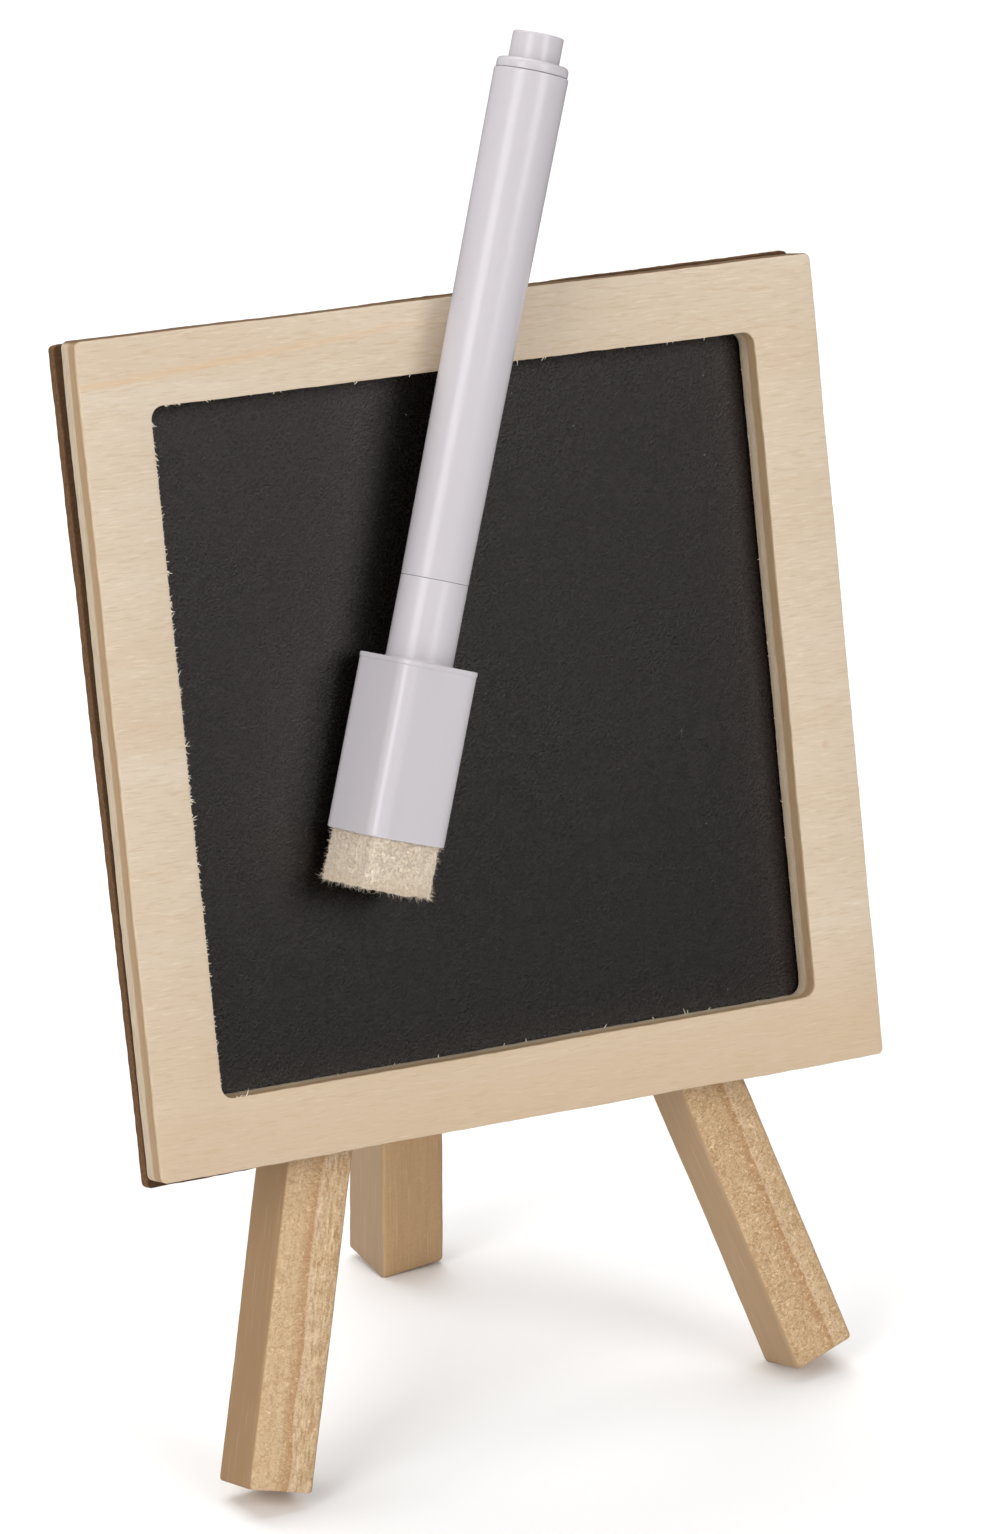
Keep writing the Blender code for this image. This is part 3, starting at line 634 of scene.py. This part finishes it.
# Board


def worn(point, normal, along, seed, slow_size, fast_size):
    """A point of an outline moved in or out by hand sanding."""
    where = (point.x, point.y, along)
    return point + normal * (wander(where, 0.055, slow_size, seed) + wander(where, 0.5, fast_size, seed + 3))


def quarter_round(line, depth, radius, seed, side):
    """Section rows of a rounded edge, from the side of the ring to its face. A row is (outline, offset
    along its normal, depth, seed), and `side` is 1 for an outer edge and -1 for an inner one."""
    rows = []
    for step in range(ARRIS_STEPS + 1):
        angle = math.pi / 2 * step / ARRIS_STEPS
        fall = radius * (1 - math.cos(angle))
        rows.append((line, -side * fall, depth - radius * (1 - math.sin(angle)), seed))
    return rows


def build_frame(matrix, size, material):
    """The plywood frame as one ring, sanded a little unevenly."""
    outer = outline(size.x, size.y, FRAME_RADIUS, FRAME_SIDE_STEPS)
    inner = outline(OPENING_WIDTH, OPENING_HEIGHT, OPENING_RADIUS, FRAME_SIDE_STEPS)
    half = size.z / 2
    section = [
        (outer, -FRAME_BACK_ARRIS, -half, 4),
        (outer, 0.0, -half + FRAME_BACK_ARRIS, 4),
        (outer, 0.0, -0.3 * half, 3),
        (outer, 0.0, 0.3 * half, 2),
        *quarter_round(outer, half, FRAME_ARRIS, 1, 1),
        *reversed(quarter_round(inner, half, OPENING_ARRIS, 5, -1)),
        (inner, 0.0, 0.2 * half, 6),
        (inner, 0.0, -0.4 * half, 7),
        (inner, 0.0, -half + OPENING_BACK_ARRIS, 8),
        (inner, OPENING_BACK_ARRIS, -half, 8),
    ]
    rings = []
    for line, offset, depth, seed in section:
        wear_seed = 1 if line is outer else 2
        ring = []
        for point, normal in line:
            moved = worn(point, normal, depth * 0.4, wear_seed, FRAME_SLOW_WEAR, FRAME_FAST_WEAR)
            tremble = wander((point.x, point.y, 0), 0.9, FRAME_ROUGHNESS, seed + 20)
            moved = moved + normal * (offset + tremble)
            ring.append((moved.x, moved.y, depth))
        rings.append(ring)
    mesh = loft("plywood_frame", rings, closed=True, sharp=60)
    place("plywood_frame", mesh, matrix, "board_stand", material, ["front_frame"])


def build_backing(matrix, size, material):
    """The hardboard back, with edges left furry by the saw."""
    line = outline(size.x, size.y, BACKING_RADIUS, BACKING_SIDE_STEPS)
    half = size.z / 2
    section = [
        (-0.2 * MM, -half),
        (0.1 * MM, -half + 0.3 * MM),
        (0.15 * MM, -0.2 * half),
        (0.15 * MM, 0.4 * half),
        (0.1 * MM, half - 0.2 * MM),
        (-0.1 * MM, half),
    ]
    rings = []
    for number, (offset, depth) in enumerate(section):
        ring = []
        for point, normal in line:
            reach = offset + wander((point.x, point.y, depth), 0.8, 0.09 * MM, number)
            reach += wander((point.x, point.y, depth), 0.07, 0.12 * MM, 11)
            moved = point + normal * reach
            ring.append((moved.x, moved.y, depth))
        rings.append(ring)
    mesh = loft("hardboard_back", rings, sharp=50)
    place("hardboard_back", mesh, matrix, "board_stand", material, ["backing_board"])


def strands(name, paths, thickness, matrix, body, material):
    """Fine tapering fibres as one curve object. Each path is a list of points in the piece's frame."""
    curve = bpy.data.curves.new(name, "CURVE")
    curve.dimensions = "3D"
    curve.bevel_depth = thickness
    curve.bevel_resolution = 0
    curve.resolution_u = 2
    for path in paths:
        spline = curve.splines.new("POLY")
        spline.points.add(len(path) - 1)
        for number, (point, co) in enumerate(zip(spline.points, path)):
            point.co = (*co, 1.0)
            point.radius = 1.0 - 0.75 * number / (len(path) - 1)
    place(name, curve, matrix, body, material)


def build_slivers(matrix, size, material):
    """Splinters of veneer that the cutter left round the opening, most of them on its left side."""
    dice = random.Random(4)
    line = outline(OPENING_WIDTH, OPENING_HEIGHT, OPENING_RADIUS, FRAME_SIDE_STEPS)
    half = size.z / 2
    paths = []
    for point, normal in line:
        if abs(point.x) > SLIVER_CORNER[0] and abs(point.y) > SLIVER_CORNER[1]:
            continue
        on_left = point.x < SLIVER_LEFT
        in_front = on_left or point.y > SLIVER_TOP
        depth = half - SLIVER_FRONT_INSET if in_front else -half + SLIVER_BACK_INSET
        start = point + normal * SLIVER_ROOT
        tries, chance = (5, 0.6) if on_left else (1, 0.15)
        for _ in range(tries):
            if dice.random() > chance:
                continue
            tangent = Vector((-normal.y, normal.x))
            along = dice.uniform(-0.4, 0.4) * MM
            length = (0.15 + dice.expovariate(5.5)) * MM
            heading = (tangent * dice.uniform(-1.6, 1.6) - normal).normalized()
            bend = Vector((-heading.y, heading.x)) * length * dice.uniform(-0.5, 0.5)
            rise = dice.uniform(-0.15, 0.2) * MM
            path = []
            for step in range(SLIVER_STEPS + 1):
                t = step / SLIVER_STEPS
                spot = start + tangent * along + heading * (length * t) + bend * t * t
                path.append((spot.x, spot.y, depth + rise * t))
            paths.append(path)
    strands("frame_slivers", paths, SLIVER_RADIUS, matrix, "board_stand", material)


def build_board():
    matrix, size = node_frame("front_frame", facing("front_frame", READER, RIGHT), READER)
    build_frame(matrix, size, plywood_material())
    build_slivers(matrix, size, fibre_material("sliver_look", (236, 222, 198), (255, 248, 236)))
    matrix, size = node_frame("backing_board", facing("backing_board", READER, RIGHT), READER)
    build_backing(matrix, size, hardboard_material())


# Legs


def stick(size, seed):
    """A square stick along Y with rounded long edges and square-cut ends, as a bmesh."""
    half = size.y / 2
    stations = int(size.y / MM) + 1
    start, length = -half + LEG_END_INSET, size.y - 2 * LEG_END_INSET
    runs = [(-half, 0.25 * MM), (-half + 0.25 * MM, 0.05 * MM)]  # (place along the stick, inset)
    runs += [(start + length * i / stations, 0.0) for i in range(stations + 1)]
    runs += [(half - 0.25 * MM, 0.05 * MM), (half, 0.25 * MM)]
    line = outline(size.x, size.z, LEG_ARRIS, LEG_SIDE_STEPS, LEG_CORNER_STEPS)
    rings = []
    for run, inset in runs:
        ring = []
        for point, normal in line:
            where = (point.x, run, point.y)
            slow = wander(where, 0.045, LEG_SLOW_WEAR, seed)
            fast = wander(where, 0.35, LEG_FAST_WEAR, seed + 2)
            moved = point + normal * (slow + fast - inset)
            ring.append((moved.x, run, moved.y))
        rings.append(ring)
    bm = skin(rings)
    bmesh.ops.recalc_face_normals(bm, faces=bm.faces)
    return bm


def saw(bm, point, normal):
    """Cuts off what lies past the plane, and closes the cut."""
    parts = bm.verts[:] + bm.edges[:] + bm.faces[:]
    cut = bmesh.ops.bisect_plane(bm, geom=parts, plane_co=point, plane_no=normal, clear_outer=True)
    edges = [item for item in cut["geom_cut"] if isinstance(item, bmesh.types.BMEdge)]
    bmesh.ops.holes_fill(bm, edges=edges)


def build_leg(name, node, matrix, size, body, seed, cuts, material):
    """A leg in its frame. The cuts are world planes (point, normal) that shape its head."""
    bm = stick(size, seed)
    back = matrix.inverted()
    for point, normal in cuts:
        saw(bm, back @ point, (back.to_3x3() @ normal).normalized())
    place(name, shape(bm, name, 45), matrix, body, material, [node])


def build_legs():
    """The two front legs, cut level at the top and mitred where they meet, and the rear leg."""
    materials = {side: leg_material(f"{side}_leg_look", *look) for side, look in LEG_LOOKS.items()}
    upright = READER.cross(RIGHT)
    for side, inward, seed in (("left", 1, 1), ("right", -1, 4)):
        node = f"{side}_leg"
        matrix, size = node_frame(node, facing(node, READER, RIGHT), READER)
        corners = [vertex.co for vertex in frame["nodes"][node].data.vertices]
        top = max(corners, key=lambda corner: corner.dot(upright)).copy()
        mitre = max(corners, key=lambda corner: corner.x * inward).copy()
        cuts = ((top, upright), (mitre, RIGHT * inward))
        build_leg(f"{node}_stick", node, matrix, size, "board_stand", seed, cuts, materials[side])
    matrix, size = node_frame("rear_leg", HINGE_LINE, facing("rear_leg", HINGE_LINE, READER))
    stop = ((HINGE_PIN + READER * STOP_OFFSET, READER),)
    build_leg("rear_leg_stick", "rear_leg", matrix, size, "rear_leg", 9, stop, materials["rear"])


# Metal parts


def turned(name, profile, closed=False, steps=ROUND_STEPS):
    """A solid of revolution from a filleted profile of (radius, height, fillet)."""
    return loft(name, [circle(point.x, point.y, steps) for point in filleted(profile)], closed=closed)


def build_brads(material):
    """Brads with domed heads, each where its CAD node is."""
    for side in ("left", "right"):
        for number in (1, 2):
            node = f"{side}_leg_brad_{number}"
            matrix, size = node_frame(node, RIGHT, READER)
            low, high = -size.z / 2, size.z / 2
            profile = [
                (AXIS_RADIUS, low, 0),
                (0.9 * MM, low + 0.03 * MM, 0.1 * MM),
                (BRAD_HEAD, low + 0.3 * MM, 0.12 * MM),
                (BRAD_HEAD - 0.05 * MM, low + 0.5 * MM, 0.05 * MM),
                (BRAD_RADIUS, low + 0.5 * MM, 0),
                (BRAD_RADIUS, high - 1.2 * MM, 0),
                (AXIS_RADIUS, high, 0),
            ]
            mesh = turned(f"{node}_nail", profile, steps=BRAD_STEPS)
            place(f"{node}_nail", mesh, matrix, "board_stand", material, [node])


def build_screws(material):
    """Countersunk screws with a driver slot, each where its CAD node is."""
    out = facing("rear_leg", HINGE_LINE, READER)
    for leaf, body, axis in (("fixed", "board_stand", -READER), ("moving", "rear_leg", out)):
        for side in ("left", "right"):
            node = f"{leaf}_leaf_screw_{side}"
            matrix, size = node_frame(node, HINGE_LINE, axis)
            top = size.z / 2
            profile = [
                (AXIS_RADIUS, -top, 0),
                (SCREW_RADIUS, -top + 1.4 * MM, 0.1 * MM),
                (SCREW_RADIUS, top - 0.7 * MM, 0),
                (SCREW_HEAD, top - 0.06 * MM, 0.05 * MM),
                (SCREW_TOP, top, 0.05 * MM),
                (AXIS_RADIUS, top, 0),
            ]
            bm = bmesh.new()
            bm.from_mesh(turned(f"{node}_core", profile, steps=SCREW_STEPS))
            for vertex in bm.verts:
                if vertex.co.z > top - 0.01 * MM and abs(vertex.co.x) < SLOT_HALF:
                    vertex.co.z -= SLOT_DEPTH
            mesh = shape(bm, f"{node}_slotted", 40)
            place(f"{node}_slotted", mesh, matrix, body, material, [node])


# Marker


def build_cap(matrix, material):
    """The cap as one lofted shell: socket, neck, block with a lip, felt pocket and magnet pocket."""
    lip = CAP_HALF + CAP_LIP_REACH
    round_part = filleted(
        [
            (SOCKET_RADIUS, SOCKET_FLOOR, 0),
            (SOCKET_RADIUS, NECK_END, 0.15 * MM),
            (NECK_RADIUS, NECK_END, 0.1 * MM),
            (NECK_RADIUS, CAP_HEIGHT, 0.35 * MM),
            (NECK_RADIUS + 0.6 * MM, CAP_HEIGHT, 0),
        ]
    )
    square_part = filleted(
        [
            (lip - 1.0 * MM, CAP_HEIGHT, 0),
            (lip, CAP_HEIGHT, 0.22 * MM),
            (lip, CAP_HEIGHT - CAP_LIP, 0.08 * MM),
            (CAP_HALF, CAP_HEIGHT - CAP_LIP - 0.06 * MM, 0.06 * MM),
            (CAP_HALF, 0, 0.3 * MM),
            (POCKET_HALF, 0, 0.15 * MM),
            (POCKET_HALF, POCKET_DEPTH, 0),
        ]
    )
    rings = [circle(point.x, point.y, SQUARE_STEPS) for point in round_part]
    for point in square_part:
        corner = CAP_RADIUS + min(point.x - CAP_HALF, 0)
        rings.append(square(point.x, max(corner, 0.9 * MM), point.y))
    rings.append(circle(MAGNET_HOLE, POCKET_DEPTH, SQUARE_STEPS))
    rings.append(circle(MAGNET_HOLE, MAGNET_HOLE_END, SQUARE_STEPS))
    mesh = loft("marker_cap", rings, sharp=35)
    place("marker_cap", mesh, matrix, "pen_cap", material, ["cap_block"])


def build_barrel(matrix, material):
    """The barrel as a tapering tube, and the end plug with its collar."""
    profile = [
        (BARREL_BORE, BARREL_START, 0),
        (NECK_RADIUS, BARREL_START, 0.1 * MM),
        (BARREL_TOP_RADIUS, BARREL_END, 0.16 * MM),
        (BARREL_BORE, BARREL_END, 0),
    ]
    mesh = turned("marker_barrel", profile, closed=True)
    place("marker_barrel", mesh, matrix, "pen", material, ["pen_barrel"])
    stem = BARREL_BORE - 0.3 * MM
    profile = [
        (stem, PLUG_ROOT, 0),
        (stem, COLLAR_START, 0),
        (COLLAR_RADIUS, COLLAR_START, 0.12 * MM),
        (COLLAR_RADIUS, COLLAR_END, 0.8 * MM),
        (PLUG_RADIUS, COLLAR_END, 0.2 * MM),
        (PLUG_RADIUS, PLUG_END, 0.3 * MM),
        (0.6 * PLUG_RADIUS, PLUG_END, 0),
        (0.3 * PLUG_RADIUS, PLUG_END - 0.08 * MM, 0),
    ]
    mesh = turned("marker_end_plug", profile)
    place("marker_end_plug", mesh, matrix, "pen", material, ["end_plug"])


def felt_surface(angle, height):
    """How far the felt's side reaches: a rounded square that bulges a little and is uneven."""
    share = min(max((FELT_TOP - height) / (FELT_TOP + FELT_REACH), 0), 1)
    bulge = 0.1 * MM * math.sin(math.pi * share)
    reach = square_reach(angle, FELT_HALF + bulge, FELT_RADIUS)
    where = (reach * math.cos(angle), reach * math.sin(angle), height)
    reach += wander(where, 0.35, 0.28 * MM, 1) + wander(where, 1.3, 0.16 * MM, 2)
    return reach + wander(where, 3.5, 0.09 * MM, 3)


def build_felt(matrix, material):
    """The wool felt block, crowned at its wiping end."""
    crown = -FELT_REACH + FELT_CROWN_START
    rows = []
    for level in range(FELT_LEVELS + 1):
        height = FELT_TOP - (FELT_TOP + FELT_REACH - FELT_CROWN_START) * level / FELT_LEVELS
        rows.append((1.0, height))
    rows += [(share, crown - drop * MM) for share, drop in FELT_CROWN]
    rings = []
    for share, height in rows:
        ring = []
        for i in range(FELT_STEPS):
            angle = 2 * math.pi * i / FELT_STEPS
            reach = felt_surface(angle, height) * share
            x, y = reach * math.cos(angle), reach * math.sin(angle)
            lift = 0.0
            if height < crown + 0.1 * MM:
                lift = wander((x, y, 0), 0.5, 0.35 * MM, 8) + wander((x, y, 0), 2.2, 0.14 * MM, 9)
            ring.append((x, y, height + lift))
        rings.append(ring)
    mesh = loft("eraser_pad", rings, sharp=180)
    pad = place("eraser_pad", mesh, matrix, "pen_cap", material, ["eraser_felt"])


def build_fuzz(matrix, material):
    """Loose wool fibres: a nap that lies on the felt, a fringe at its free end and one long stray."""
    dice = random.Random(11)

    def wild():
        return Vector((dice.gauss(0, 1), dice.gauss(0, 1), dice.gauss(0, 1)))

    paths = []
    for number in range(NAP_FIBRES + FRINGE_FIBRES):
        fringe = number >= NAP_FIBRES
        angle = dice.uniform(0, 2 * math.pi)
        height = dice.uniform(*NAP_SPAN)
        if fringe:
            height = -FELT_REACH + dice.betavariate(1.0, 2.5) * FRINGE_SPAN
        out = Vector((math.cos(angle), math.sin(angle), 0))
        root = out * (felt_surface(angle, height) - FUZZ_ROOT) + Vector((0, 0, height))
        heading = out * dice.uniform(0.3, 0.9) + wild() * FUZZ_CURL
        length = dice.uniform(0.2, 0.5) * MM
        if fringe:
            heading.z -= dice.uniform(0.1, 0.9)
            length *= FRINGE_STRETCH
        heading.normalize()
        curl = wild() * FUZZ_CURL
        paths.append([tuple(root + (heading * t + curl * t * t) * length) for t in FUZZ_STATIONS])
    strands("eraser_fuzz", paths, FUZZ_RADIUS, matrix, "pen_cap", material)

    corner = Vector((-FELT_HALF * 0.96, -FELT_HALF * 0.72, -0.6 * MM))
    loop = []
    for step in range(STRAY_STEPS + 1):
        t = step / STRAY_STEPS
        sweep = math.radians(20 + 210 * t)
        loop.append(
            (
                corner.x - 2.2 * MM * math.sin(sweep * 0.8) - 0.4 * MM * t,
                corner.y - 0.8 * MM * t,
                corner.z - 1.9 * MM * (1 - math.cos(sweep * 0.75)),
            )
        )
    strands("stray_fibre", [loop], STRAY_RADIUS, matrix, "pen_cap", material)


def build_marker():
    cap, cap_size = node_frame("cap_block", facing("cap_block", PEN_UP, RIGHT), PEN_UP)
    mouth = cap @ Matrix.Translation((0, 0, -cap_size.z / 2))
    plastic = white_plastic_material()
    build_cap(mouth, plastic)
    build_barrel(mouth, plastic)
    build_felt(mouth, felt_material())
    build_fuzz(mouth, fibre_material("wool_fibre_look", (230, 210, 182), (250, 238, 220)))


# Stage


def build_floor():
    bm = bmesh.new()
    bmesh.ops.create_grid(bm, x_segments=8, y_segments=8, size=FLOOR_HALF)
    floor = bpy.data.objects.new("floor", shape(bm, "floor"))
    bpy.context.scene.collection.objects.link(floor)
    floor.location.z = -FLOOR_DROP
    floor.data.materials.append(floor_material())
    floor.visible_glossy = False


def build_world():
    """Dark in front like an unlit room, and pale overhead and behind the easel."""
    world = bpy.data.worlds.new("studio")
    world.use_nodes = True
    tree = world.node_tree
    background = tree.nodes["Background"]
    background.inputs["Color"].default_value = (1.0, 1.0, 1.0, 1.0)
    direction = tree.nodes.new("ShaderNodeTexCoord").outputs["Generated"]
    parts = tree.nodes.new("ShaderNodeSeparateXYZ")
    tree.links.new(direction, parts.inputs[0])
    total = None
    for axis, low, high, amount in ROOM_GLOW:
        glow = tree.nodes.new("ShaderNodeMapRange")
        glow.interpolation_type = "SMOOTHSTEP"
        glow.inputs["From Min"].default_value = low
        glow.inputs["From Max"].default_value = high
        glow.inputs["To Max"].default_value = amount
        tree.links.new(parts.outputs[axis], glow.inputs["Value"])
        plus = tree.nodes.new("ShaderNodeMath")
        plus.inputs[1].default_value = ROOM_LEVEL
        tree.links.new(glow.outputs[0], plus.inputs[0])
        if total:
            tree.links.new(total, plus.inputs[1])
        total = plus.outputs[0]
    tree.links.new(total, background.inputs["Strength"])
    world.cycles_visibility.glossy = False
    bpy.context.scene.world = world
    bpy.context.scene.view_settings.view_transform = "Standard"


def add_light(name, azimuth, elevation, width, height, power):
    """A soft box that looks at the board. Azimuth 0 is straight in front, positive to the right."""
    data = bpy.data.lights.new(name, "AREA")
    data.shape = "RECTANGLE"
    data.size = width
    data.size_y = height
    data.energy = power
    light = bpy.data.objects.new(name, data)
    bpy.context.scene.collection.objects.link(light)
    turn, rise = math.radians(azimuth), math.radians(elevation)
    heading = Vector((math.sin(turn) * math.cos(rise), -math.cos(turn) * math.cos(rise), math.sin(rise)))
    light.location = LIGHT_TARGET + heading * LIGHT_DISTANCE
    light.rotation_euler = heading.to_track_quat("Z", "Y").to_euler()


def add_camera():
    data = bpy.data.cameras.new("camera")
    data.lens = CAMERA_LENS
    data.clip_start = 0.05
    data.clip_end = 60
    camera = bpy.data.objects.new("camera", data)
    bpy.context.scene.collection.objects.link(camera)
    camera.location = CAMERA_PLACE
    camera.rotation_euler = [math.radians(angle) for angle in CAMERA_TURN]
    bpy.context.scene.camera = camera


def main():
    build_board()
    build_legs()
    steel = metal_material("steel_look", (150, 150, 152), (205, 205, 206))
    brass = metal_material("brass_look", (176, 150, 96), (222, 198, 140))
    build_brads(steel)
    build_screws(brass)
    build_marker()

    # Nodes that keep their CAD shapes
    fibre = dark_material("fibre_look", (30, 30, 34), (62, 62, 68), 0.9, 4.0)
    looks = {
        "chalkboard_sheet": chalk_material(),
        "hinge_fixed_leaf": brass,
        "hinge_moving_leaf": brass,
        "hinge_pin": steel,
        "cap_magnet": metal_material("magnet_look", (120, 120, 124), (170, 170, 172)),
        "nib_holder": dark_material("black_plastic_look", (26, 26, 27), (40, 40, 41), 0.45, 2.0),
        "pen_nib": fibre,
        "ink_reservoir": fibre,
    }
    for node, material in looks.items():
        frame["nodes"][node].data.materials.clear()
        frame["nodes"][node].data.materials.append(material)

    build_floor()
    build_world()
    for name, settings in LIGHTS.items():
        add_light(name, *settings)
    add_camera()


main()
